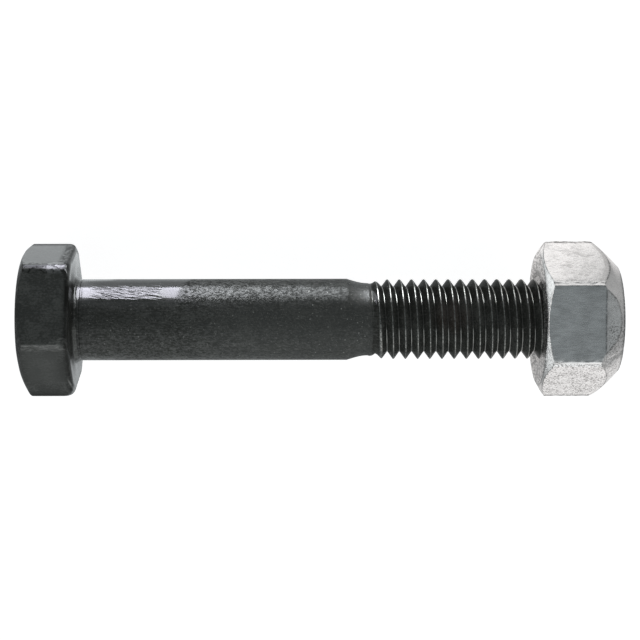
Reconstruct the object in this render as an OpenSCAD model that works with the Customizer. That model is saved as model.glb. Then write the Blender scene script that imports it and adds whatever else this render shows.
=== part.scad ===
// Hexagon head bolt with an all-metal lock nut run on to its end, lying on its side.
// The bolt's axis is +X and +Z is up. The origin is on that axis, at the head's bearing face.

/* [Bolt] */
// Diameter of the plain shank, which is also the thread's nominal diameter
bolt_d = 10; // [8:0.1:11]
// Length from the head's bearing face to the tip
bolt_len = 65; // [55:0.5:80]
// Length of the plain shank below the head
plain_len = 33.3; // [25:0.1:36]
// Length of the taper from the plain shank down to the blank that the thread is rolled on
neck_len = 2.5; // [1:0.1:4]
// How much smaller the blank's radius is than the shank's
neck_step = 0.5; // [0.3:0.05:0.6]
// Radius of the fillet between the shank and the head
fillet_r = 0.5; // [0.2:0.1:1]

/* [Head] */
// Width of the head across its flats
head_af = 16.7; // [15:0.1:19]
// Height of the head
head_h = 6.5; // [5:0.1:8]
// Depth to which the chamfer wears the corners down at the top of the head
head_chamfer = 1.1; // [0.5:0.1:1.5]
// Radius that rounds the head's corners at its bearing face
head_edge_r = 0.7; // [0.2:0.1:1]
// Turn of the head about the axis, away from a flat that faces straight up
head_turn = 16; // [0:1:30]

/* [Thread] */
// Thread pitch
pitch = 1.5; // [1:0.05:1.75]
// How far the crests stay inside the nominal radius
crest_drop = 0.08; // [0.02:0.01:0.15]
// Length over which the thread grows to its full depth
run_in = 2.1; // [1:0.1:4]
// Length of the chamfer at the tip
tip_chamfer = 1; // [0.5:0.1:1.5]
// Angle about the axis at which a crest leaves the neck
thread_start = 234; // [0:1:359]

/* [Nut] */
// Width of the nut across its flats
nut_af = 16.8; // [15:0.1:19]
// Height of the nut with its cone
nut_h = 9.6; // [9:0.1:12]
// Depth to which the chamfer wears the corners down at the bearing face
nut_chamfer = 0.9; // [0.5:0.1:1.5]
// Diameter of the flat end of the cone
nut_end_d = 13.2; // [12:0.1:14]
// How far the tip of the bolt stays inside the end of the nut
tip_inset = 1.4; // [0.5:0.1:4]
// Radial running clearance between the bore and the crests of the thread
bore_clear = 0.05; // [0.02:0.01:0.1]
// Depth of the countersink at the bearing face
sink_depth = 0.5; // [0.2:0.1:1]
// Turn of the nut about the axis, away from a flat that faces straight up
nut_turn = 0; // [-15:1:15]

/* [Squeeze] */
// Number of flats at which the cone is squeezed in, so that the nut grips
squeeze_count = 3; // [2:1:3]
// Distance from the bearing face to the fold line of a squeezed face
squeeze_start = 7; // [6:0.1:8]
// Angle by which a squeezed face leans in from its flat
squeeze_angle = 30; // [15:1:35]

/* [Corners] */
// How much the six corners of the head and of the nut are eased, along their radius
corner_ease = 0.06; // [0.02:0.01:0.3]
// Angle of the chamfers, against the faces that they surround
chamfer_angle = 30; // [20:1:35]
// Angle of the nut's cone against the axis
cone_angle = 42; // [38:1:50]

/* [Hidden] */
$fn = 96;
black = [0.15, 0.15, 0.16];
zinc = [0.76, 0.77, 0.77];
overrun = 1;
bolt_r = bolt_d / 2;
blank_r = bolt_r - neck_step;
thread_x = plain_len + neck_len;
arc_steps = 6;
neck_steps = 8;
head_corner_r = head_af / 2 / cos(30) - corner_ease;
head_face_r = head_corner_r - head_chamfer / tan(chamfer_angle);
nut_corner_r = nut_af / 2 / cos(30) - corner_ease;
nut_face_r = nut_corner_r - nut_chamfer / tan(chamfer_angle);
nut_end_r = nut_end_d / 2;
cone_len = (nut_corner_r - nut_end_r) / tan(cone_angle);
nut_x = bolt_len + tip_inset - nut_h;
squeeze_step = 360 / squeeze_count;

// A metric thread: 60 degrees between its flanks, and a crest an eighth of the pitch wide. Its
// root is rolled a little deeper than the standard's least depth.
crest_r = bolt_r - crest_drop;
thread_depth = 0.65 * pitch;
root_r = crest_r - thread_depth;
bore_r = crest_r + bore_clear;
crest_w = pitch / 8;
flank_w = thread_depth * tan(30);
root_w = pitch - crest_w - 2 * flank_w;

// The thread's core starts inside the neck, a little smaller than the neck's round end.
core_r = blank_r - crest_drop;
core_x = thread_x - neck_len / 4;

// Each turn has four lines that run round with it: the two edges of the crest and of the root.
line_x = [0, crest_w, crest_w + flank_w, crest_w + flank_w + root_w];
line_r = [crest_r, crest_r, root_r, root_r];
lines = len(line_x);
turn_steps = 24;
spare_turns = 3;
line_count = lines * (ceil((bolt_len - thread_x) / pitch) + 2 * spare_turns);

// Place along the axis of a line's point, which stays between the core's start and the tip
function thread_at(line, step) =
    let (turn = floor(line / lines) - spare_turns + thread_start / 360 + step / turn_steps)
    min(max(thread_x + pitch * turn + line_x[line % lines] - crest_w / 2, core_x), bolt_len);

// Radius of a line's point, with the run-in at the neck and the chamfer at the tip
function thread_radius(line, x) =
    let (grown = min(max((x - thread_x) / run_in, 0), 1))
    min(
        core_r + (line_r[line % lines] - core_r) * grown,
        root_r + thread_depth * (bolt_len - x) / tip_chamfer
    );

function thread_point(line, step) =
    let (x = thread_at(line, step), r = thread_radius(line, x), a = 360 * step / turn_steps)
    [r * cos(a), r * sin(a), x];

// Number of a point. The step after the last one is the first step, one turn further on.
function thread_index(line, step) =
    step < turn_steps
        ? line * turn_steps + step
        : min(line + lines, line_count - 1) * turn_steps;

// Everything is drawn along +Z with the head's flats level, then laid along +X.
module lay() {
    rotate([90, 0, 90]) children();
}

// A hexagonal bar with two of its flats facing up and down, cut by a turned outline
module turned_hexagon(af, height, turn, outline) {
    intersection() {
        rotate(-turn)
            translate([0, 0, -overrun])
                cylinder(r = af / 2 / cos(30), h = height + 2 * overrun, $fn = 6);
        rotate_extrude() polygon(outline);
    }
}

module head() {
    edge = [
        for (i = [0:arc_steps])
            let (a = 90 * i / arc_steps)
            [head_corner_r, head_h] + head_edge_r * [cos(a) - 1, sin(a) - 1]
    ];
    translate([0, 0, -head_h])
        turned_hexagon(head_af, head_h, head_turn, concat(
            [[0, 0], [head_face_r, 0], [head_corner_r, head_chamfer]],
            edge,
            [[0, head_h]]
        ));
}

// Share of its fall that the neck has made at a share of its length: even at first, then easing out
function neck_fall(t) = 0.7 * (1 - (1 - t) ^ 2) + 0.3 * t ^ 2 * (3 - 2 * t);

// The fillet, the plain shank and the neck, turned in one piece from inside the head
module shank() {
    fillet = [
        for (i = [0:arc_steps])
            let (a = 270 - 90 * i / arc_steps)
            [bolt_r + fillet_r + fillet_r * cos(a), fillet_r + fillet_r * sin(a)]
    ];
    neck = [
        for (i = [0:neck_steps])
            let (t = i / neck_steps)
            [bolt_r - neck_step * neck_fall(t), plain_len + neck_len * t]
    ];
    rotate_extrude()
        polygon(concat(
            [[0, -head_h / 2], [bolt_r + fillet_r, -head_h / 2]],
            fillet,
            neck,
            [[0, thread_x]]
        ));
}

// The right-hand thread with its core, from the neck to the chamfered tip
module thread() {
    last = line_count - 1;
    points = [for (line = [0:last], step = [0:turn_steps - 1]) thread_point(line, step)];
    sides = [
        for (line = [0:last - 1], step = [0:turn_steps - 1])
            let (
                a = thread_index(line, step),
                b = thread_index(line, step + 1),
                c = thread_index(line + 1, step + 1),
                d = thread_index(line + 1, step)
            )
            each [[a, c, b], [a, d, c]]
    ];
    solid_sides = [
        for (s = sides)
            if (points[s[0]] != points[s[1]] && points[s[1]] != points[s[2]]
                && points[s[2]] != points[s[0]])
                s
    ];
    neck_end = [for (step = [0:turn_steps - 1]) thread_index(0, step)];
    tip_end = [for (step = [turn_steps - 1:-1:0]) thread_index(last, step)];
    polyhedron(points, concat(solid_sides, [neck_end, tip_end]), convexity = 4);
}

module hex_bolt() {
    color(black)
        lay() {
            head();
            shank();
            thread();
        }
}

// The space that the thread runs through, with a countersink at the bearing face
module bore() {
    rotate_extrude()
        polygon([
            [0, -overrun],
            [bore_r + sink_depth + overrun, -overrun],
            [bore_r, sink_depth],
            [bore_r, nut_h + overrun],
            [0, nut_h + overrun]
        ]);
}

// What a squeeze takes off one flat and the cone above it: a face that leans in from a fold line
module squeeze() {
    translate([nut_af / 2, -nut_af / 2, squeeze_start])
        rotate([0, -squeeze_angle, 0])
            cube([nut_af / 2, nut_af, nut_h]);
}

module lock_nut() {
    color(zinc)
        lay()
            translate([0, 0, nut_x])
                difference() {
                    turned_hexagon(nut_af, nut_h, nut_turn, [
                        [0, 0],
                        [nut_face_r, 0],
                        [nut_corner_r, nut_chamfer],
                        [nut_corner_r, nut_h - cone_len],
                        [nut_end_r, nut_h],
                        [0, nut_h]
                    ]);
                    bore();
                    for (i = [0:squeeze_count - 1])
                        rotate(90 - nut_turn + i * squeeze_step) squeeze();
                }
}

hex_bolt();
lock_nut();
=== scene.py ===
"""A black hexagon head bolt with a zinc plated lock nut on its end, lying on a pale floor."""

import logging
import math
from dataclasses import dataclass
from enum import Enum
from functools import cached_property
from typing import TypeAlias

import bmesh
import bpy
import numpy as np
from mathutils import Matrix, Vector, noise


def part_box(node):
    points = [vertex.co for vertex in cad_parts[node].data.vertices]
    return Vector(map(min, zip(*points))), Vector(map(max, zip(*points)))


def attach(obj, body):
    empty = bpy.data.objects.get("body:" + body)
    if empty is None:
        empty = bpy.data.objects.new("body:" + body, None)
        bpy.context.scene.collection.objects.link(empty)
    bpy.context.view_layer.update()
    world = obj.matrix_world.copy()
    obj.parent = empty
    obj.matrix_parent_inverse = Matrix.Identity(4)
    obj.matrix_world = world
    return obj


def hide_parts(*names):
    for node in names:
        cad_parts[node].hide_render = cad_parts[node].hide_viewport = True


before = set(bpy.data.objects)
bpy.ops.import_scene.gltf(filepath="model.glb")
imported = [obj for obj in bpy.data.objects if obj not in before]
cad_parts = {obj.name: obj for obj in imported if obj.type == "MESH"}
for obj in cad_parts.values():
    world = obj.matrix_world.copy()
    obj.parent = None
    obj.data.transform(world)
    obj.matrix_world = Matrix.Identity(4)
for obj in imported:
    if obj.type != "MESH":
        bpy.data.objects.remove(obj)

LOG = logging.getLogger("bolt_and_nut")
MM = 0.001
PHOTO_PX = 640
WELD_MM = 0.0008
CHAMFER = math.radians(30)
CHAMFER_SLOPE = math.tan(CHAMFER)

# What a step of arithmetic on a field takes
Value: TypeAlias = "Field | bpy.types.NodeSocket | float"


def add_node(
    tree: bpy.types.NodeTree,
    kind: str,
    inputs: dict[int | str, object] | None = None,
    **settings: object,
) -> bpy.types.Node:
    """Adds one node with its settings, its input values and its links.

    Args:
        tree: The node tree that takes the node.
        kind: Blender's name for the type of node.
        inputs: For an input's name or number, a value, or the socket or field that feeds it.
        settings: Properties of the node itself, such as its operation.

    Returns:
        The new node.
    """
    made = tree.nodes.new(kind)
    for name, value in settings.items():
        setattr(made, name, value)
    for key, value in (inputs or {}).items():
        if isinstance(value, Field):
            value = value.socket
        if isinstance(value, bpy.types.NodeSocket):
            tree.links.new(value, made.inputs[key])
        else:
            made.inputs[key].default_value = value
    return made


@dataclass(frozen=True)
class Field:
    """A value that differs from place to place: a node's output, with arithmetic on it."""

    socket: bpy.types.NodeSocket

    def then(self, operation: str, *others: Value) -> "Field":
        """Works out one step of arithmetic that starts from this value.

        Args:
            operation: The step, by Blender's name for it.
            others: The step's further values, as numbers or fields.

        Returns:
            The result.
        """
        values = dict(enumerate((self, *others)))
        step = add_node(self.socket.id_data, "ShaderNodeMath", values, operation=operation)
        return Field(step.outputs[0])

    def __add__(self, other: Value) -> "Field":
        """Adds a number or a field."""
        return self.then("ADD", other)

    def __sub__(self, other: Value) -> "Field":
        """Takes a number or a field away."""
        return self.then("SUBTRACT", other)

    def __rsub__(self, other: float) -> "Field":
        """Takes this value away from a number."""
        return self.then("MULTIPLY_ADD", -1.0, other)

    def __mul__(self, other: Value) -> "Field":
        """Multiplies by a number or a field."""
        return self.then("MULTIPLY", other)

    def at_least(self, other: Value) -> "Field":
        """Takes the greater of this value and another."""
        return self.then("MAXIMUM", other)

    def at_most(self, other: Value) -> "Field":
        """Takes the lesser of this value and another."""
        return self.then("MINIMUM", other)

    def step(self, low: float, high: float, start: Value = 0.0, end: Value = 1.0) -> "Field":
        """Turns this value into a soft step.

        Args:
            low: Where the step starts.
            high: Where it ends. It may be less than low.
            start: The result up to the step's start, as a number or a field.
            end: The result beyond its end, as a number or a field.

        Returns:
            The step's height.
        """
        return Field(add_node(self.socket.id_data, "ShaderNodeMapRange", {
            "Value": self, "From Min": low, "From Max": high, "To Min": start, "To Max": end},
            interpolation_type="SMOOTHSTEP").outputs[0])

    def within(self, low: float, high: Value, soft: float) -> "Field":
        """Marks where this value lies between two limits.

        Args:
            low: The lower limit.
            high: The upper limit, as a number or a field.
            soft: Width over which the mark fades at each limit.

        Returns:
            1 inside and 0 outside.
        """
        above = self.step(low - soft / 2, low + soft / 2)
        return above * (self - high).step(soft / 2, -soft / 2)


def linear(hex_colour: str) -> tuple[float, float, float, float]:
    """Turns an sRGB hex colour into linear light.

    Args:
        hex_colour: Six hex digits after a hash.

    Returns:
        Red, green and blue in linear light, with an alpha of 1.
    """
    parts = (int(hex_colour[i : i + 2], 16) / 255 for i in (1, 3, 5))
    r, g, b = (c / 12.92 if c <= 0.04045 else ((c + 0.055) / 1.055) ** 2.4 for c in parts)
    return (r, g, b, 1.0)


def smooth_min(a: np.ndarray, b: np.ndarray, ease: np.ndarray | float) -> np.ndarray:
    """Takes the smaller of two heights, with the edge between them rounded over.

    Args:
        a: The first height.
        b: The second height.
        ease: Difference between the two within which they blend.

    Returns:
        The blended height, never more than the smaller one.
    """
    blend = np.maximum(ease - np.abs(a - b), 0) / ease
    return np.minimum(a, b) - blend * blend * ease / 4


def bell(value: np.ndarray, width: float) -> np.ndarray:
    """Gives a smooth hump over a value.

    Args:
        value: The value.
        width: The value at which the hump has fallen to a third.

    Returns:
        1 where the value is 0, and less on both sides.
    """
    return np.exp(-((value / width) ** 2))


def unevenness(x: np.ndarray, y: np.ndarray, z: np.ndarray, grain: float, seed: float) -> np.ndarray:
    """Gives smooth random heights at points in space.

    Args:
        x: Places along X, in millimetres.
        y: Places along Y.
        z: Places along Z.
        grain: Size of one bump, in millimetres.
        seed: Moves the pattern, so that two surfaces don't share it.

    Returns:
        Heights from about -1 to 1, one for each point.
    """
    points = np.stack([x, y, z], axis=-1) / grain + seed
    flat = points.reshape(-1, 3)
    return np.array([noise.noise(Vector(p)) for p in flat]).reshape(x.shape)


class ScrewSide(Enum):
    """Which side of the screw thread a surface is."""

    BOLT = "bolt"
    NUT = "nut"


class Skin:
    """Rings of points around the X axis, in millimetres, joined into one closed mesh."""

    def __init__(self) -> None:
        """Starts an empty skin."""
        self.points: list[tuple[float, float, float]] = []
        self.faces: list[tuple[int, ...]] = []
        self.angles: dict[int, float] = {}
        self.marks: dict[int, float] = {}

    def ring(self, phi: np.ndarray, x: np.ndarray | float, r: np.ndarray | float,
             mark: np.ndarray | float = 0.0, aside: float = 0.0) -> list[int]:
        """Adds one ring of points.

        Args:
            phi: Angles about the axis, rising from +Y towards +Z.
            x: Places along the axis.
            r: Distances from the axis.
            mark: How near each point is to an edge, from 0 to 1, which sets its soot, grime and
                painted shade.
            aside: How far the ring's middle lies off the axis, towards +Y.

        Returns:
            The numbers of the new points.
        """
        x, r = np.broadcast_to(x, phi.shape), np.broadcast_to(r, phi.shape)
        first = len(self.points)
        y, z = r * np.cos(phi) + aside, r * np.sin(phi)
        self.points.extend(zip(x.tolist(), y.tolist(), z.tolist()))
        numbers = list(range(first, first + len(phi)))
        self.angles.update(zip(numbers, phi.tolist()))
        self.marks.update(zip(numbers, np.broadcast_to(mark, phi.shape).tolist()))
        return numbers

    def bridge(self, rows: list[list[int]]) -> None:
        """Joins rings that have the same number of points with bands of quads.

        Args:
            rows: The rings in order.
        """
        for one, other in zip(rows, rows[1:]):
            for i in range(len(one)):
                j = (i + 1) % len(one)
                self.faces.append((one[i], one[j], other[j], other[i]))

    def stitch(self, one: list[int], other: list[int]) -> None:
        """Joins two rings of unlike counts with triangles, taking the points in turn by angle.

        Args:
            one: The first ring, with rising angles.
            other: The second ring, with rising angles.
        """
        turn = 2 * math.pi
        a = [self.angles[i] for i in one] + [self.angles[one[0]] + turn]
        b = [self.angles[i] for i in other] + [self.angles[other[0]] + turn]
        i = j = 0
        while i < len(one) or j < len(other):
            take_one = j == len(other) or (i < len(one) and a[i + 1] <= b[j + 1])
            p, q = one[i % len(one)], other[j % len(other)]
            if take_one:
                self.faces.append((p, one[(i + 1) % len(one)], q))
                i += 1
            else:
                self.faces.append((p, other[(j + 1) % len(other)], q))
                j += 1

    def cap(self, ring: list[int]) -> None:
        """Closes a ring with triangles to its middle.

        Args:
            ring: The ring to close.
        """
        middle = tuple(np.mean([self.points[i] for i in ring], axis=0).tolist())
        self.points.append(middle)
        hub = len(self.points) - 1
        for i, p in enumerate(ring):
            self.faces.append((p, ring[(i + 1) % len(ring)], hub))

    def make(self, name: str) -> bpy.types.Object:
        """Turns the skin into an object, in metres.

        Args:
            name: The object's name.

        Returns:
            The new object, linked to the scene.
        """
        mesh = bpy.data.meshes.new(name)
        mesh.from_pydata([tuple(c * MM for c in p) for p in self.points], [], self.faces)
        marks = mesh.attributes.new("edge", "FLOAT", "POINT")
        marks.data.foreach_set("value", [self.marks.get(i, 0.0) for i in range(len(self.points))])
        made = bpy.data.objects.new(name, mesh)
        bpy.context.scene.collection.objects.link(made)
        return made


def weld(name: str, parts: list[bpy.types.Object]) -> bpy.types.Object:
    """Joins meshes that meet along rings into one closed mesh, with its faces turned outwards.

    Args:
        name: The name of the joined object.
        parts: The meshes, which are used up.

    Returns:
        The joined object, at the origin.
    """
    joined = bmesh.new()
    for part in parts:
        joined.from_mesh(part.data)
        bpy.data.objects.remove(part)
    bmesh.ops.remove_doubles(joined, verts=joined.verts, dist=WELD_MM * MM)
    bmesh.ops.dissolve_degenerate(joined, edges=joined.edges, dist=WELD_MM * MM / 2)
    bmesh.ops.recalc_face_normals(joined, faces=joined.faces)
    loose = sum(1 for e in joined.edges if len(e.link_faces) != 2)
    LOG.info("%s: %d faces, %d open edges", name, len(joined.faces), loose)
    mesh = bpy.data.meshes.new(name)
    joined.to_mesh(mesh)
    joined.free()
    mesh.polygons.foreach_set("use_smooth", [True] * len(mesh.polygons))
    made = bpy.data.objects.new(name, mesh)
    bpy.context.scene.collection.objects.link(made)
    return made


@dataclass(frozen=True)
class HexOutline:
    """The rounded hexagon that the head and the nut share, in millimetres."""

    across_flats: float
    corner_radius: float
    turn_deg: float
    soft_corners_deg: tuple[float, ...] = ()
    soft_radius: float = 0.0
    bevels_deg: tuple[float, ...] = ()
    bevel_depth: float = 0.0
    bevel_reach: float = 0.0
    bevel_ease: float = 0.02

    @property
    def flat(self) -> float:
        """Distance from the axis to a flat."""
        return self.across_flats / 2

    @property
    def corner_start(self) -> float:
        """Angle from a flat's middle at which its corner starts to round."""
        widest = max(self.corner_radius, self.soft_radius, self.bevel_reach)
        return math.atan((self.flat - widest) * math.tan(math.pi / 6) / self.flat)

    def from_flat(self, phi: np.ndarray) -> tuple[np.ndarray, np.ndarray]:
        """Finds the flat that each angle belongs to.

        Args:
            phi: Angles about the axis.

        Returns:
            The angle from the flat's middle, and the flat's number, 0 for the one on top.
        """
        sixth = math.pi / 3
        shifted = phi - (math.pi / 2 - math.radians(self.turn_deg))
        number = np.round(shifted / sixth)
        return shifted - number * sixth, number.astype(int) % 6

    def radius(self, phi: np.ndarray) -> np.ndarray:
        """Gives the outline's distance from the axis.

        Args:
            phi: Angles about the axis.

        Returns:
            The distances.
        """
        off = np.abs(self.from_flat(phi)[0])
        soft = np.zeros(phi.shape, bool)
        for corner in self.soft_corners_deg:
            soft |= np.cos(phi - math.radians(corner)) > math.cos(math.pi / 6)
        rounding = np.where(soft, self.soft_radius, self.corner_radius)
        centre = (self.flat - rounding) / math.cos(math.pi / 6)
        b = math.pi / 6 - off
        inside = np.maximum(rounding**2 - (centre * np.sin(b)) ** 2, 0)
        rounded = centre * np.cos(b) + np.sqrt(inside)
        tangent = np.arctan((self.flat - rounding) * math.tan(math.pi / 6) / self.flat)
        r = np.where(off > tangent, rounded, self.flat / np.cos(off))
        sharp = self.flat / math.cos(math.pi / 6)
        for bevel in self.bevels_deg:
            # Each bevel leans over a corner from the direction that it faces.
            corner = 60 * round(bevel / 60)
            away = sharp * math.cos(math.radians(bevel - corner)) - self.bevel_depth
            facing = np.cos(phi - math.radians(bevel))
            bevelled = smooth_min(r, away / np.maximum(facing, 0.9), self.bevel_ease)
            r = np.where(facing > 0.9, bevelled, r)
        return r

    def angles(self, per_flat: int, per_corner: int) -> np.ndarray:
        """Spreads angles over the outline, with more of them at the corners.

        Args:
            per_flat: Points along one flat.
            per_corner: Points on half a corner.

        Returns:
            Rising angles from 0 to a full turn.
        """
        edge = self.corner_start
        half = np.concatenate([
            np.linspace(0, edge * 0.96, per_flat // 2 + 1)[1:],
            [edge * 0.985],
            np.linspace(edge, math.pi / 6, per_corner + 1)[:-1],
        ])
        sector = np.concatenate([-half[::-1], [0.0], half, [math.pi / 6]])
        base = math.pi / 2 - math.radians(self.turn_deg)
        turns = [sector + base + i * math.pi / 3 for i in range(6)]
        return np.sort(np.mod(np.concatenate(turns), 2 * math.pi))


@dataclass(frozen=True)
class ScrewThread:
    """A right-hand thread as a surface, made by geometry nodes. Lengths are in millimetres."""

    side: ScrewSide
    crest_r: float
    root_r: float
    pitch: float
    start_x: float
    end_x: float
    clock_deg: float
    start_r: float
    run_in: float
    end_chamfer: float
    columns: int = 144
    rows_per_turn: int = 18
    crest_half: float = 0.034
    crest_ease: float = 0.06
    root_ease: float = 0.14
    tip_ease: float = 0.03
    sink_ease: float = 0.05

    def tree(self, name: str) -> bpy.types.NodeTree:
        """Builds the node tree.

        Args:
            name: The tree's name.

        Returns:
            A geometry node tree with named inputs for its sizes.
        """
        tree = bpy.data.node_groups.new(name, "GeometryNodeTree")
        face = tree.interface
        face.new_socket("Geometry", in_out="OUTPUT", socket_type="NodeSocketGeometry")
        for label in ("Crest Radius", "Root Radius", "Pitch", "Start X", "End X", "Middle X",
                      "Start Radius", "Run In", "End Chamfer", "Flank", "Turns"):
            face.new_socket(label, in_out="INPUT", socket_type="NodeSocketFloat")
        for label in ("Rows", "Columns"):
            face.new_socket(label, in_out="INPUT", socket_type="NodeSocketInt")
        face.new_socket("Material", in_out="INPUT", socket_type="NodeSocketMaterial")
        given = add_node(tree, "NodeGroupInput").outputs

        # A flat grid, whose X counts turns along the thread and whose Y is a share of one turn.
        grid = add_node(tree, "GeometryNodeMeshGrid", {
            "Size X": given["Turns"], "Size Y": 1.0,
            "Vertices X": given["Rows"], "Vertices Y": given["Columns"]})
        place = add_node(tree, "GeometryNodeInputPosition")
        parts = add_node(tree, "ShaderNodeSeparateXYZ", {0: place.outputs[0]}).outputs
        turns, share = Field(parts["X"]), Field(parts["Y"])
        angle = share * (2 * math.pi)
        raw = (turns + share) * given["Pitch"] + given["Middle X"]
        along = add_node(tree, "ShaderNodeClamp", {
            "Value": raw, "Min": given["Start X"], "Max": given["End X"]}).outputs[0]

        # The profile, from 0 at the root to 1 at the crest, with both rounded.
        foot = Field(given["Flank"]) + self.crest_half
        rise = Field(add_node(tree, "ShaderNodeMapRange", {
            "Value": turns.then("PINGPONG", 0.5), "From Min": self.crest_half, "From Max": foot,
            "To Min": 1.0, "To Max": 0.0}, clamp=False).outputs[0])
        topped = rise.then("SMOOTH_MIN", 1.0, self.crest_ease)
        height = topped.then("SMOOTH_MAX", 0.0, self.root_ease)
        full = Field(add_node(tree, "ShaderNodeMapRange", {
            "Value": height, "From Min": 0.0, "From Max": 1.0,
            "To Min": given["Root Radius"], "To Max": given["Crest Radius"]},
            clamp=False).outputs[0])

        # The ends: a run-in and a chamfer on the bolt, and two countersinks in the nut.
        chamfer_start = Field(given["End X"]) - given["End Chamfer"]
        run_end = Field(given["Start X"]) + given["Run In"]
        if self.side is ScrewSide.BOLT:
            grown = add_node(tree, "ShaderNodeMapRange", {
                "Value": along, "From Min": given["Start X"], "From Max": run_end,
                "To Min": 0.0, "To Max": 1.0}).outputs[0]
            formed = Field(add_node(tree, "ShaderNodeMix", {
                0: grown, 2: given["Start Radius"], 3: full}, data_type="FLOAT").outputs[0])
            tip = add_node(tree, "ShaderNodeMapRange", {
                "Value": along, "From Min": chamfer_start, "From Max": given["End X"],
                "To Min": given["Crest Radius"], "To Max": given["Root Radius"]},
                clamp=False).outputs[0]
            radius = formed.then("SMOOTH_MIN", tip, self.tip_ease * MM)
        else:
            mouth = add_node(tree, "ShaderNodeMapRange", {
                "Value": along, "From Min": given["Start X"], "From Max": run_end,
                "To Min": given["Start Radius"], "To Max": given["Root Radius"]},
                clamp=False).outputs[0]
            lip = Field(given["Root Radius"]) + given["End Chamfer"]
            far_end = add_node(tree, "ShaderNodeMapRange", {
                "Value": along, "From Min": chamfer_start, "From Max": given["End X"],
                "To Min": given["Root Radius"], "To Max": lip}, clamp=False).outputs[0]
            radius = full.then("SMOOTH_MAX", mouth, self.sink_ease * MM)
            radius = radius.then("SMOOTH_MAX", far_end, self.sink_ease * MM)

        # The grid is wound round the axis. What its clamped ends fold up is merged.
        point = add_node(tree, "ShaderNodeCombineXYZ", {
            "X": along, "Y": radius * angle.then("COSINE"), "Z": radius * angle.then("SINE")})
        measured = add_node(tree, "GeometryNodeStoreNamedAttribute", {
            "Geometry": grid.outputs["Mesh"], "Name": "thread_height", "Value": height},
            data_type="FLOAT", domain="POINT")
        wound = add_node(tree, "GeometryNodeSetPosition", {
            "Geometry": measured.outputs[0], "Position": point.outputs[0]})
        closed = add_node(tree, "GeometryNodeMergeByDistance", {
            "Geometry": wound.outputs[0], "Distance": WELD_MM * MM})
        real = add_node(tree, "GeometryNodeRealizeInstances", {"Geometry": closed.outputs[0]})
        dressed = add_node(tree, "GeometryNodeSetMaterial", {
            "Geometry": real.outputs[0], "Material": given["Material"]})
        add_node(tree, "NodeGroupOutput", {"Geometry": dressed.outputs[0]})
        return tree

    def make(self, name: str, material: bpy.types.Material) -> bpy.types.Object:
        """Runs the tree and keeps its result as a plain mesh.

        Args:
            name: The object's name.
            material: The finish of the thread.

        Returns:
            The thread's surface, open at both ends.
        """
        length = self.end_x - self.start_x
        turns = 2 * math.ceil(length / self.pitch / 2 + 1)
        crest = self.start_x + self.pitch * self.clock_deg / 360
        middle = crest + self.pitch * round((self.start_x + length / 2 - crest) / self.pitch)
        values = {
            "Crest Radius": self.crest_r * MM,
            "Root Radius": self.root_r * MM,
            "Pitch": self.pitch * MM,
            "Start X": self.start_x * MM,
            "End X": self.end_x * MM,
            "Middle X": middle * MM,
            "Start Radius": self.start_r * MM,
            "Run In": self.run_in * MM,
            "End Chamfer": self.end_chamfer * MM,
            "Flank": 0.5 - self.crest_half,
            "Turns": float(turns),
            "Rows": turns * self.rows_per_turn + 1,
            "Columns": self.columns + 1,
            "Material": material,
        }
        holder = bpy.data.objects.new(name, bpy.data.meshes.new(name))
        bpy.context.scene.collection.objects.link(holder)
        change = holder.modifiers.new(name, "NODES")
        change.node_group = self.tree(name)
        for item in change.node_group.interface.items_tree:
            if item.in_out == "INPUT":
                change[item.identifier] = values[item.name]
        graph = bpy.context.evaluated_depsgraph_get()
        mesh = bpy.data.meshes.new_from_object(holder.evaluated_get(graph))
        holder.modifiers.remove(change)
        holder.data = mesh
        return holder


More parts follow.
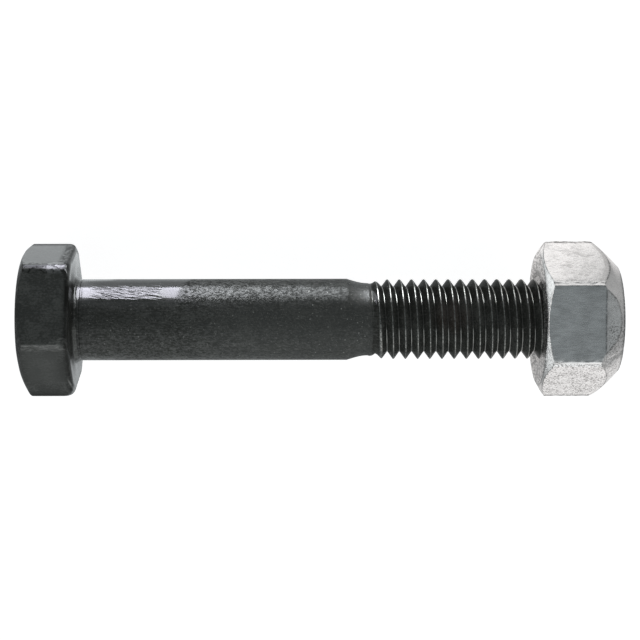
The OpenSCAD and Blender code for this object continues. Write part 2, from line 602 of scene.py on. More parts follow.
class Recipe:
    """A material's node tree, with the steps that the finishes share. Lengths are in millimetres."""

    def __init__(self, name: str) -> None:
        """Starts an empty material.

        Args:
            name: The material's name.
        """
        self.material = bpy.data.materials.new(name)
        self.material.use_nodes = True
        self.tree = self.material.node_tree
        self.tree.nodes.clear()
        metres = add_node(self.tree, "ShaderNodeTexCoord").outputs["Object"]
        self.place = add_node(self.tree, "ShaderNodeVectorMath", {
            0: metres, "Scale": 1 / MM}, operation="SCALE").outputs[0]
        axes = add_node(self.tree, "ShaderNodeSeparateXYZ", {0: self.place}).outputs
        self.x, self.y, self.z = (Field(axes[axis]) for axis in "XYZ")

    def stretched(self, size: tuple[float, float, float], turn_deg: float,
                  place: bpy.types.NodeSocket | None) -> bpy.types.NodeSocket:
        """Scales coordinates so that one unit is one grain of a pattern.

        Args:
            size: The grain's size along each axis.
            turn_deg: Turn of the pattern about the third axis.
            place: The coordinates, or None for the object's own.

        Returns:
            The scaled coordinates.
        """
        return add_node(self.tree, "ShaderNodeMapping", {
            "Vector": place or self.place,
            "Rotation": (0.0, 0.0, math.radians(turn_deg)),
            "Scale": size}, vector_type="TEXTURE").outputs[0]

    def mottle(self, size: tuple[float, float, float], detail: float = 2.0, turn_deg: float = 0.0,
               place: bpy.types.NodeSocket | None = None) -> Field:
        """Makes a random pattern.

        Args:
            size: Its grain's size along each axis.
            detail: How many finer layers it has.
            turn_deg: Turn of the pattern about the third axis.
            place: Its coordinates, or None for the object's own.

        Returns:
            Values around 0.5.
        """
        return Field(add_node(self.tree, "ShaderNodeTexNoise", {
            "Vector": self.stretched(size, turn_deg, place),
            "Scale": 1.0, "Detail": detail, "Roughness": 0.6}).outputs[0])

    def flecks(self, cell: float, reach: float, share: Field) -> Field:
        """Scatters round flecks.

        Args:
            cell: Mean distance between the places where a fleck can be.
            reach: Radius of the largest fleck, as a share of that distance.
            share: Share of the places that have a fleck.

        Returns:
            1 on a fleck and 0 elsewhere.
        """
        cells = add_node(self.tree, "ShaderNodeTexVoronoi", {
            "Vector": self.stretched((cell, cell, cell), 0.0, None), "Scale": 1.0}).outputs
        pick = add_node(self.tree, "ShaderNodeSeparateColor", {0: cells["Color"]}).outputs
        inside = (Field(cells["Distance"]) - Field(pick[1]) * reach).step(0.03, -0.03)
        return inside * Field(pick[0]).then("LESS_THAN", share)

    def marked(self, name: str) -> Field:
        """Reads a value from 0 to 1 that the mesh carries at its points."""
        return Field(add_node(self.tree, "ShaderNodeAttribute", attribute_name=name).outputs["Fac"])

    def blend(self, share: Field, one: str | bpy.types.NodeSocket,
              other: str | bpy.types.NodeSocket) -> bpy.types.NodeSocket:
        """Lays one colour over another.

        Args:
            share: How much of the other colour there is.
            one: The colour below, as a hex colour or a socket.
            other: The colour above, in the same ways.

        Returns:
            The mixed colour.
        """
        one, other = (linear(c) if isinstance(c, str) else c for c in (one, other))
        return add_node(self.tree, "ShaderNodeMix", {0: share, 6: one, 7: other},
                        data_type="RGBA").outputs[2]

    def metal(self, height: Field, inputs: dict[str, object]) -> bpy.types.Material:
        """Closes the recipe with a metal's shader.

        Args:
            height: Height of the fine relief.
            inputs: The shader's other inputs.

        Returns:
            The material.
        """
        bump = add_node(self.tree, "ShaderNodeBump", {
            "Height": height, "Strength": 1.0, "Distance": MM}).outputs[0]
        shader = add_node(self.tree, "ShaderNodeBsdfPrincipled", {**inputs, "Normal": bump})
        if "Coat Weight" in inputs:
            self.tree.links.new(bump, shader.inputs["Coat Normal"])
        add_node(self.tree, "ShaderNodeOutputMaterial", {0: shader.outputs[0]})
        return self.material


class BlackOxideSteel(Recipe):
    """Cold forged steel blackened in a hot oxide bath and oiled: near black, glossy where oily.

    It is oiled from the head to dry_x and in the thread, and wiped dry between them. A step's
    numbers are places along an axis, or the values of a pattern between which it sets in.
    """

    oily_colour: str = "#343532"
    dry_colour: str = "#494a48"
    cloud_and_sheen_colour: str = "#525350"
    soot_and_shade_colour: str = "#1e1e1c"
    worn_and_glint_colour: str = "#9a9a96"
    rust_colour: str = "#4a2a20"
    rust_place: tuple[float, float, float] = (45.8, 0.8, 4.8)
    dry_x: float = 13.0
    dry_slant: float = 0.36
    dry_turn: float = 0.78

    def __init__(self, shank_r: float, thread_x: float) -> None:
        """Marks out the bolt.

        Args:
            shank_r: Radius of the plain shank.
            thread_x: Where the thread starts.
        """
        super().__init__("black_oxide_steel")
        self.shank_r = shank_r
        self.thread_x = thread_x
        self.around = self.z.then("ARCTAN2", self.y) * shank_r
        self.sheet = add_node(self.tree, "ShaderNodeCombineXYZ", {
            "X": self.x, "Y": self.around}).outputs[0]
        self.on_head = self.x.step(0.2, -0.1)
        self.threaded = self.x.step(thread_x + 0.3, thread_x + 0.6)
        self.cloud = self.mottle((2.5, 2.5, 2.5), 5.0)
        self.speckle = self.mottle((0.3, 0.2, 0.2), 3.0)
        self.uneven = self.mottle((1.2, 1.2, 1.2), 3.0)

    @cached_property
    def dry(self) -> Field:
        """Where the oil is wiped off: beyond a slanting, uneven edge, and low on the shank."""
        edge = self.x + self.around * self.dry_slant + (self.uneven - 0.5) * 2.2
        start = self.dry_x + self.dry_slant * self.shank_r * self.dry_turn
        wiped = self.y.step(2.3, 1.7) * (1 - self.on_head)
        return edge.step(start - 0.4, start + 0.4).at_least(wiped) * (1 - self.threaded)

    @cached_property
    def rise(self) -> Field:
        """Height in the thread, 0 at a root and 1 at a crest, with broader crests by the neck."""
        broad = self.x.step(38, 37.4) * self.y.step(0.5, -1, 0.0, 0.12)
        return self.marked("thread_height") + broad

    @cached_property
    def crest(self) -> Field:
        """The thread's crests."""
        return self.threaded * self.rise.step(0.955, 0.985)

    @cached_property
    def root(self) -> Field:
        """The thread's roots, which oil hides where it hasn't drained down both sides."""
        drained = self.y.step(-0.7, -1.2, 0.25, 1.0).at_least(self.y.step(1.6, 2.4))
        return self.threaded * self.rise.step(0.1, 0.05) * drained

    @cached_property
    def knocks(self) -> Field:
        """Small knocks, most of them by the neck and on the crests."""
        many = self.x.within(28, 35.5, 3)
        share = self.dry * 0.2 + 0.05 + many * 0.3 - self.on_head * 0.04 + self.crest * 0.6
        return self.flecks(0.42, 0.2, share) * (self.threaded.at_least(many) * 0.4 + 0.6)

    @cached_property
    def worn_corner_and_glint(self) -> Field:
        """The head's worn corner along the edge of its lower flat, pale also as a painted glint."""
        by_edge = (self.x + self.y * 0.365).within(-3.12, -2.92, 0.2)
        return by_edge * self.y.within(-8.3, -7.0, 0.9) * self.uneven.step(0.3, 0.55, 0.4, 1.0)

    @cached_property
    def on_upper(self) -> Field:
        """The head's upper side."""
        return self.on_head * self.y.step(5.9, 6.3)

    @cached_property
    def on_ridge(self) -> Field:
        """The ridge on the head's upper side."""
        return self.y.within(5.9, 7.5, 0.2) * self.z.step(5.2, 5.6)

    @cached_property
    def soot_and_shade(self) -> Field:
        """Dry soot on the head's edges, with painted shade along them and in the hollow round the
        shank.
        """
        soot_and_shade = self.marked("edge") * self.mottle((0.5, 0.5, 0.5), 3.0).step(0.35, 0.55, 0.45, 1.0)
        # Painted shadow fills the hollow round the shank, and the head's outermost corners are darker
        # too.
        hollow = self.x.within(-0.5, self.y.step(-0.6, 0.2, 0.06, 0.22), 0.1)
        hollow = hollow * self.z.step(2, 3.4) * self.y.within(-5, 4.9, 1)
        soot_and_shade = soot_and_shade.at_least(hollow * self.y.step(1, 3, 0.6, 0.92))
        corners = self.y.step(9.02, 9.16, 0.0, 0.6).at_least(self.y.step(-8.2, -9.2, 0.0, 0.5))
        soot_and_shade = soot_and_shade.at_least(self.on_head * corners) * (1 - self.worn_corner_and_glint * 0.9)
        # The bearing face has faint stains.
        stains = self.mottle((0.7, 0.7, 0.7), 3.0).step(0.5, 0.6, 0.0, 0.1)
        stains = stains * self.x.within(-0.03, 0.03, 0.02)
        soot_and_shade = soot_and_shade.at_least(stains * self.y.step(5, 5.4))
        # On the head's upper side it fills patches by the bearing face and nicks in the ridge.
        patches = self.mottle((0.5, 0.45, 0.45), 3.0).step(0.42, 0.52, 0.0, 0.75)
        patches = patches * self.x.within(-1.4, -0.2, 0.7)
        nicks = self.on_ridge * self.mottle((0.42, 0.3, 0.3), 2.0).step(0.54, 0.6, 0.0, 0.85)
        return soot_and_shade.at_least(self.on_upper * patches.at_least(nicks))

    def tone(self) -> bpy.types.NodeSocket:
        """Gives the colour of the oxide, which takes in clouds and in streaks along the bar, with a
        painted sheen on the head's lower flat.

        Returns:
            The colour.
        """
        near = self.x.within(0.8, 12, 2)
        grey = self.x.step(8, 22).at_least(near * 0.24)
        base = self.blend(grey, self.oily_colour, self.dry_colour)
        base = self.blend(self.threaded, base, self.oily_colour)
        streak = self.mottle((2.4, 0.2, 0.2), 3.0)
        streak = streak + (0.5 - streak) * self.on_head * 0.7
        clouded = (self.cloud + streak + self.speckle).step(1.35, 1.75, 0.0, 0.9 - near * 0.4)
        tone = self.blend(clouded, base, self.cloud_and_sheen_colour)
        # Painted sheen: the head's lower flat is paler in its middle.
        middle = self.x.within(-5.4, -1.5, 1.4) * self.y.within(-7.4, -3.1, 1.4)
        tone = self.blend(middle * 0.45, tone, self.cloud_and_sheen_colour)
        # One trace of rust shows through the oil in the thread.
        from_rust = Field(add_node(self.tree, "ShaderNodeVectorMath", {
            0: self.place, 1: self.rust_place}, operation="DISTANCE").outputs["Value"])
        return self.blend(from_rust.step(3, 1) * 0.16, tone, self.rust_colour)

    def wear_glint_and_sheen(self) -> Field:
        """Gives how far bare, paler steel shows through the oxide, with a painted glint on the head's
        worn corner and a painted sheen on the fillet.

        Returns:
            The share of bare steel.
        """
        patchy = self.mottle((0.2, 0.2, 0.2), 2.0).step(0.42, 0.6, 0.22, 1.0)
        # Real scratches are finer. They are drawn about 0.1 mm wide, the least that shows.
        along = self.mottle((0.7, 0.1, 0.1), turn_deg=3.0, place=self.sheet).step(0.61, 0.69)
        across = self.mottle((0.5, 0.1, 0.1), turn_deg=64.0, place=self.sheet).step(0.62, 0.69)
        scratch = along.at_least(across) * self.x.within(1, self.thread_x + 0.5, 1)
        # The head's lower ridge is scuffed, more widely by the bearing face.
        band = self.y.within(-3.1, self.x.step(-2.6, -1.6, -2.3, -1.4), 0.2)
        scuff = self.mottle((0.8, 0.25, 0.25), 3.0).step(0.45, 0.62, 0.0, 0.8)
        scuff = scuff * band * self.z.step(5, 6) * self.on_head
        # The fillet is paler on its lower side, as a painted sheen.
        fillet = self.x.within(0.08, 0.5, 0.15) * self.z.step(1.5, 3) * self.y.within(-4.8, -0.6, 1)
        bare = (self.crest * patchy).at_least(self.root * 0.75)
        bare = bare.at_least(self.worn_corner_and_glint * 0.72).at_least(fillet * 0.3)
        return bare.at_least(self.knocks).at_least(scratch.at_least(scuff) * 0.36)

    def relief(self) -> Field:
        """Gives the height of the forged skin, with ripples from the die beside the highlight.

        Returns:
            The height.
        """
        rippled = self.x.within(2.6, 10.6, 2.2) * self.y.within(2.7, 4.3, 0.5)
        ripple = self.mottle((1.5, 0.26, 0.26), 1.0, turn_deg=10.0, place=self.sheet) * rippled
        # The oxide's own grain is finer, and is drawn as coarse as it needs to show.
        grain = self.mottle((0.16, 0.16, 0.16), 2.0) * (self.dry * 0.012 + 0.003)
        return ripple * 0.14 + grain + self.cloud * (self.on_head * 0.03 + 0.01)

    def oil(self) -> Field:
        """Gives the strength of the oil film.

        Returns:
            The weight of the shader's coat.
        """
        film = self.x.step(1.6, 3.6, 1.0, 0.8) - self.dry * 0.76 - self.on_head * 0.16
        film = film * self.x.step(0.15, 0.05).at_least(self.x.step(0.45, 0.7, 0.5, 1.0))
        in_thread = (self.crest.at_least(self.root) * 0.5).at_least(0.14)
        film = film * (1 - self.threaded) + in_thread * self.threaded
        return film * (1 - self.soot_and_shade * 0.95)

    def shine(self) -> Field:
        """Gives the gloss under the oil: patchy where dry, stronger on the neck and the ridge.

        Returns:
            The specular level.
        """
        patches = self.mottle((0.8, 0.4, 0.4), 2.0) * 0.7 + self.speckle
        gloss = patches.step(0.74, 1.0, 0.03, self.x.step(10, 32, 0.35, 0.18))
        gloss = gloss * self.x.step(36.6, 35.8, 0.2, 1.0)
        on_neck = self.x.step(33.2, 34.4) * self.y.step(1.5, 2.5)
        gloss = gloss * (1 - on_neck * 0.3) + on_neck * 0.2
        shine = (gloss - 0.1) * self.dry + 0.1
        ridge = self.on_upper * self.on_ridge * self.x.within(-2.7, -0.8, 0.4)
        return shine.at_least(ridge) * (1 - self.threaded * 0.9) * (1 - self.soot_and_shade * 0.9)

    def make(self) -> bpy.types.Material:
        """Builds the material.

        Returns:
            The finish of the bolt.
        """
        colour = self.blend(self.wear_glint_and_sheen(), self.tone(), self.worn_and_glint_colour)
        return self.metal(self.relief(), {
            "Base Color": self.blend(self.soot_and_shade, colour, self.soot_and_shade_colour),
            "Metallic": (self.knocks * 0.35).at_least(self.crest.at_least(self.root) * 0.85),
            "Roughness": self.cloud * 0.12 + 0.26 - self.threaded * 0.08,
            "IOR": 1.5,
            "Specular IOR Level": self.shine(),
            "Coat Weight": self.oil(),
            "Coat Roughness": 0.11 - self.threaded * 0.04,
            "Coat IOR": 1.5,
        })


class ZincPlatedSteel(Recipe):
    """Steel forged hot, barrel tumbled and zinc plated: pale grey metal over a rough skin."""

    colour: str = "#f8f7f6"
    stain_and_shade_colour: str = "#8d8b8a"
    grime_and_shade_colour: str = "#454544"
    roughness: float = 0.2

    def __init__(self, top_z: float, face_x: float) -> None:
        """Marks out the nut.

        Args:
            top_z: Height of the nut's top flat.
            face_x: Place of the nut's bearing face.
        """
        super().__init__("zinc_plated_steel")
        self.face_x = face_x
        self.on_top = self.z.step(top_z - 0.35, top_z - 0.12)
        self.off_axis = (self.y * self.y + self.z * self.z).then("SQRT")
        self.brushed = self.mottle((1.1, 0.07, 0.07), 2.0)
        self.pitted = self.mottle((0.22, 0.15, 0.15), 3.0)

    def stains(self) -> Field:
        """Gives the stains: lines along the top flat, streaks on the +Y side, dots on the -Y side, and
        painted shade on the cone's upper side.

        Returns:
            Their strength.
        """
        uneven = self.mottle((1.9, 1.1, 1.1), 3.0)
        lower = self.y.step(1, -1)
        streaks = (self.mottle((0.5, 0.1, 0.1), 3.0) + uneven * 0.7).step(0.78, 1.04, 0.0, 0.46)
        dots = (self.pitted + uneven * 0.25).step(0.6, 0.73, 0.0, 0.95)
        lines = (self.brushed + uneven * 0.9).step(0.72, 1.2, 0.0, 0.4)
        dark = streaks * (1 - lower) + dots * lower
        dark = dark * (1 - self.on_top) + lines * self.on_top
        # Painted shade: the cone is darker on its upper side. This sum has one value all over the
        # cone.
        on_cone = ((self.x - self.face_x) * 0.9 + self.off_axis).step(14.93, 15.08)
        return dark.at_least(on_cone * self.y.step(2, 7.5, 0.0, 0.42))

    def grime_and_shade(self) -> Field:
        """Gives the grime and painted shade: along the edges, and grime smeared over the bearing face,
        where it rubbed.

        Returns:
            Its strength.
        """
        # Grime and painted shade lie along the edges that the mesh marks.
        edges = self.marked("edge") * self.mottle((0.4, 0.25, 0.25), 3.0).step(0.36, 0.57, 0.15, 1.0)
        rubbed = self.mottle((0.4, 0.35, 1.4), 4.0)
        # On the upper side the bearing face is darker round the bore.
        darker_round_bore = self.off_axis.step(6.6, 5.6, 0.0, 0.9) * rubbed.step(0.36, 0.5) * self.y.step(1, 3)
        smeared = rubbed.step(0.45, 0.54, 0.0, 0.66).at_least(darker_round_bore)
        return edges.at_least(smeared * self.x.step(self.face_x + 0.12, self.face_x + 0.03))

    def make(self) -> bpy.types.Material:
        """Builds the material.

        Returns:
            The finish of the nut.
        """
        colour = self.blend(self.stains(), self.colour, self.stain_and_shade_colour)
        return self.metal(self.pitted * (0.022 - self.on_top * 0.018) + self.brushed * 0.004, {
            "Base Color": self.blend(self.grime_and_shade(), colour, self.grime_and_shade_colour),
            "Metallic": 1.0,
            "Roughness": self.pitted * 0.14 + self.roughness,
        })


class WhitePaintedBoard(Recipe):
    """Matt white paint on a flat board, with the glow that the camera and reflections see."""

    paint_colour: str = "#b0b0b0"
    warm_glow: str = "#fffcfb"
    cool_glow: str = "#f8fdff"
    camera_glow: float = 0.9

    def __init__(self) -> None:
        """Sorts the rays that see the board."""
        super().__init__("white_painted_board")
        rays = add_node(self.tree, "ShaderNodeLightPath").outputs
        self.seen = Field(rays["Is Camera Ray"]).at_least(rays["Is Transmission Ray"])
        self.glossy = Field(rays["Is Glossy Ray"])

    def mirrored(self) -> Field:
        """Gives the glow in reflections: bright beside the part, with painted shadow under it, and dim
        past its ends.

        Returns:
            The strength of the glow.
        """
        beside = self.y.step(3, 10, 0.42, 0.89).at_least(self.y.step(-6, -17, 0.47, 0.68))
        beside = beside * self.x.step(-0.5, 0.8, 0.94, 1.06)
        # It is dimmer by the shank and by the thread, a painted shadow, and past the ends.
        shifted = self.x + self.y.step(10, 12.5, 0.0, 3.7)
        by_shank = shifted.step(2.9, 4.2) * self.x.step(54.5, 50.5)
        by_thread = self.x.within(26, 52.5, 8) * self.y.step(0, -4)
        shaded = (1 - by_shank * 0.5) * (1 - by_thread * 0.5)
        beyond = self.x + (self.y * 0.25).at_most(self.y * 0.5)
        ends = beyond.step(71.5, 81, 1.0, 0.26) * self.x.step(-9, -15, 1.0, 0.15)
        return beside * shaded * ends * self.glossy

    def make(self) -> bpy.types.Material:
        """Builds the material.

        Returns:
            The finish of the floor.
        """
        tint = self.blend(self.x.step(54, 48) * self.glossy, self.warm_glow, self.cool_glow)
        tint = self.blend(self.seen, tint, "#ffffff")
        glow = self.seen * self.camera_glow + self.mirrored()
        paint = add_node(self.tree, "ShaderNodeBsdfDiffuse", {"Color": linear(self.paint_colour)})
        light = add_node(self.tree, "ShaderNodeEmission", {"Color": tint, "Strength": glow})
        both = add_node(self.tree, "ShaderNodeAddShader", {0: paint.outputs[0], 1: light.outputs[0]})
        add_node(self.tree, "ShaderNodeOutputMaterial", {0: both.outputs[0]})
        return self.material


@dataclass
class HexBolt:
    """The bolt, forged and rolled in one piece. Lengths are in millimetres."""

    tip_x: float
    head_h: float
    outline: HexOutline
    steel: bpy.types.Material
    # The shank, with fine rings that the forging die left round its fillet, and the neck
    shank_r: float = 5.0
    plain_len: float = 33.3
    fillet_r: float = 0.5
    fillet_len: float = 0.8
    grooved_len: float = 1.05
    groove_gap: float = 0.31
    groove_depth: float = 0.06
    neck_end_x: float = 35.8
    neck_r: float = 4.46
    # The head: its round top, its rounded edges, and how far it sits off the shank's axis
    face_r: float = 7.68
    face_ease: tuple[float, float] = (1.2, 3.2)
    side_ease: float = 0.5
    corner_r: float = 9.58
    corner_ease: float = 1.15
    edge_ease: float = 0.12
    blunt_ease: float = 0.5
    meeting_ease: float = 0.05
    aside: float = 0.07
    # How much wear took off the flats, the ridges and the chamfer, and soot and painted shade on the
    # edges
    dent: float = 0.02
    ridge_dent: float = 0.09
    cut_near: float = 0.25
    cut_far: float = 0.08
    fuller: float = 0.14
    edge_soot_and_shade: float = 0.75
    # The thread, and the dish in the tip as shares of the root's radius with their depths
    columns: int = 144
    pitch: float = 1.5
    crest_r: float = 4.92
    root_r: float = 3.95
    clock_deg: float = 244.0
    run_in: float = 2.1
    tip_chamfer: float = 1.0
    tip_dish: tuple[tuple[float, float], ...] = ((0.93, 0.02), (0.8, 0.1), (0.55, 0.2), (0.3, 0.24))

    def head(self, skin: Skin, phi: np.ndarray) -> list[int]:
        """Draws the head from the middle of its top to the rounded edge of its bearing face.

        Args:
            skin: The skin to draw on.
            phi: The angles of the hexagon's columns.

        Returns:
            The ring where the bearing face starts.
        """
        hexagon = self.outline.radius(phi)
        rows = [skin.ring(phi, -self.head_h, self.face_r * share, aside=self.aside)
                for share in (0.4, 0.7)]
        skin.cap(rows[0])
        rows += self.chamfer(skin, phi, hexagon)
        rows += self.bearing_edge(skin, phi, hexagon)
        skin.bridge(rows)
        return rows[-1]

    def chamfer(self, skin: Skin, phi: np.ndarray, hexagon: np.ndarray) -> list[list[int]]:
        """Draws the rounded edge of the head's top, its chamfer and its flats.

        Args:
            skin: The skin to draw on.
            phi: The angles of the hexagon's columns.
            hexagon: The distance of the flats from the axis at those angles.

        Returns:
            The rings, in order.
        """
        top = -self.head_h
        across = np.cos(phi)
        # The edge of the top is rounder at the sides than above and below.
        ease = self.face_ease[0] + (self.face_ease[1] - self.face_ease[0]) * across**2
        # On the -Y side the chamfer is cut deeper, more so by the top, and elsewhere it is fuller.
        near = self.cut_near * np.clip((-across - 0.4) / 0.3, 0, 1)
        far = self.cut_far * np.clip((-across - 0.6) / 0.3, 0, 1)
        far = far - self.fuller * np.clip((across + 0.6) / 0.2, 0, 1)
        start = self.face_r - near - ease * math.tan(CHAMFER / 2)
        rows = []
        for turn in np.linspace(0, CHAMFER, 6):
            x = top + ease * (1 - math.cos(turn))
            r = smooth_min(start + ease * math.sin(turn), hexagon, self.edge_ease)
            # The rounded edge of the top carries more soot and painted shade towards the chamfer.
            rows.append(skin.ring(phi, x, r, self.edge_soot_and_shade * turn / CHAMFER, self.aside))
        # Rows lie closely on both sides of the line where the chamfer meets a flat.
        cone_start = top + ease * (1 - math.cos(CHAMFER))
        corner = top + (hexagon + far - self.face_r) * CHAMFER_SLOPE
        last = -self.corner_ease
        places = [cone_start + (corner - cone_start) * share for share in (0.25, 0.5, 0.75)]
        places += [corner + step for step in (-0.1, -0.05, 0.0, 0.05, 0.1, 0.2)]
        places += [corner + 0.2 + (last - corner - 0.2) * share for share in np.linspace(0.1, 0.97, 9)]
        blunt = np.where(across < -0.5, self.blunt_ease, self.edge_ease)
        for x in np.maximum.accumulate(np.maximum(np.array(places), cone_start + 0.01), axis=0):
            cone = self.face_r + (x - top) / CHAMFER_SLOPE
            cone = cone - near - (far - near) * np.clip(x - top, 0, 1)
            # Soot and painted shade mark where the chamfer meets a flat.
            mark = np.clip((hexagon - cone) / 0.1, 0, self.edge_soot_and_shade)
            r = self.dented(phi, x, smooth_min(cone, hexagon, blunt))
            rows.append(skin.ring(phi, x, r, mark, self.aside))
        return rows

    def bearing_edge(self, skin: Skin, phi: np.ndarray, hexagon: np.ndarray) -> list[list[int]]:
        """Draws the rounded edge between the flats and the bearing face.

        Args:
            skin: The skin to draw on.
            phi: The angles of the hexagon's columns.
            hexagon: The distance of the flats from the axis at those angles.

        Returns:
            The rings, in order.
        """
        rows = []
        for turn in np.linspace(0, math.pi / 2, 11):
            x = self.corner_ease * (math.sin(turn) - 1)
            limit = self.corner_r - self.corner_ease * (1 - math.cos(turn))
            inside = max(x + self.side_ease, 0)
            side = hexagon - self.side_ease + math.sqrt(self.side_ease**2 - inside**2)
            # Soot and painted shade lie along the edge, and at its foot all round but for the top.
            mark = self.edge_soot_and_shade * bell(x + 0.35, 0.34)
            if turn > 1.4:
                mark = np.where(np.sin(phi) < 0.45, 0.8, mark)
            r = self.dented(phi, x, smooth_min(side, limit, self.meeting_ease))
            rows.append(skin.ring(phi, x, r, mark, self.aside))
        rows.append(skin.ring(phi, 0.0, np.minimum(r, limit) - 0.3, aside=self.aside))
        return rows

    def dented(self, phi: np.ndarray, x: np.ndarray | float, r: np.ndarray) -> np.ndarray:
        """Makes the flats a little uneven and knocks in the ridges on the upper side.

        Args:
            phi: Angles about the axis.
            x: Places along the axis.
            r: Distances from the axis.

        Returns:
            The lesser distances.
        """
        off = np.abs(self.outline.from_flat(phi)[0])
        above = np.clip((np.sin(phi) - 0.4) / 0.2, 0, 1)
        ridge = above * bell(math.pi / 6 - off, 0.06)
        x = np.broadcast_to(x, phi.shape)
        y, z = r * np.cos(phi), r * np.sin(phi)
        wavy = 0.5 + 0.5 * unevenness(x, y, z, grain=2.6, seed=2.0)
        knocked = 0.5 + 0.5 * unevenness(x, y, z, grain=0.6, seed=6.0)
        knocked = knocked * np.clip((x + 3.6) / 1.0, 0.15, 1)
        return r - self.dent * wavy * above - self.ridge_dent * ridge * knocked

    def shank(self, skin: Skin, phi: np.ndarray) -> list[int]:
        """Draws the fillet, the plain shank and the neck.

        Args:
            skin: The skin to draw on.
            phi: The angles of the shank's columns.

        Returns:
            Its ring at the head.
        """
        reach = self.shank_r + self.fillet_r
        rows = [skin.ring(phi, 0.0, reach)]
        for x in np.linspace(0, self.grooved_len, 36)[1:]:
            left = max(1 - x / self.fillet_len, 0.0)
            fade = max(1 - x / self.grooved_len, 0.0) ** 0.6
            wave = (math.cos(2 * math.pi * x / self.groove_gap) - 1) / 2
            groove = self.groove_depth * fade * wave
            rows.append(skin.ring(phi, x, self.shank_r + self.fillet_r * left**2 + groove))
        for x in np.linspace(self.grooved_len + 0.4, self.plain_len, 40):
            rows.append(skin.ring(phi, x, self.shank_r))
        neck_len = self.neck_end_x - self.plain_len
        for share in np.linspace(0, 1, 15)[1:]:
            # The neck falls evenly at first and then eases out.
            fall = 0.7 * (1 - (1 - share) ** 2) + 0.3 * share**2 * (3 - 2 * share)
            x = self.plain_len + neck_len * share
            rows.append(skin.ring(phi, x, self.shank_r + (self.neck_r - self.shank_r) * fall))
        skin.bridge(rows)
        return rows[0]

    def tip(self, skin: Skin, phi: np.ndarray) -> None:
        """Closes the tip with the shallow dish that thread rolling leaves.

        Args:
            skin: The skin to draw on.
            phi: The angles of the shank's columns.
        """
        rows = [skin.ring(phi, self.tip_x, self.root_r)]
        for share, depth in self.tip_dish:
            rows.append(skin.ring(phi, self.tip_x - depth, self.root_r * share))
        skin.bridge(rows)
        skin.cap(rows[-1])

    def build(self) -> bpy.types.Object:
        """Builds the whole bolt as one closed mesh.

        Returns:
            The bolt.
        """
        thread = ScrewThread(
            side=ScrewSide.BOLT,
            crest_r=self.crest_r,
            root_r=self.root_r,
            pitch=self.pitch,
            start_x=self.neck_end_x,
            end_x=self.tip_x,
            clock_deg=self.clock_deg,
            start_r=self.neck_r,
            run_in=self.run_in,
            end_chamfer=self.tip_chamfer,
            columns=self.columns,
        ).make("bolt_thread", self.steel)
        skin = Skin()
        round_phi = np.arange(self.columns) * 2 * math.pi / self.columns
        edge = self.head(skin, self.outline.angles(per_flat=26, per_corner=9))
        root = self.shank(skin, round_phi)
        skin.stitch(edge, root)
        self.tip(skin, round_phi)
        return weld("bolt", [skin.make("bolt_body"), thread])

    def dress(self, bolt: bpy.types.Object) -> None:
        """Gives the bolt its finish.

        Args:
            bolt: The bolt's object.
        """
        bolt.data.materials.clear()
        bolt.data.materials.append(self.steel)


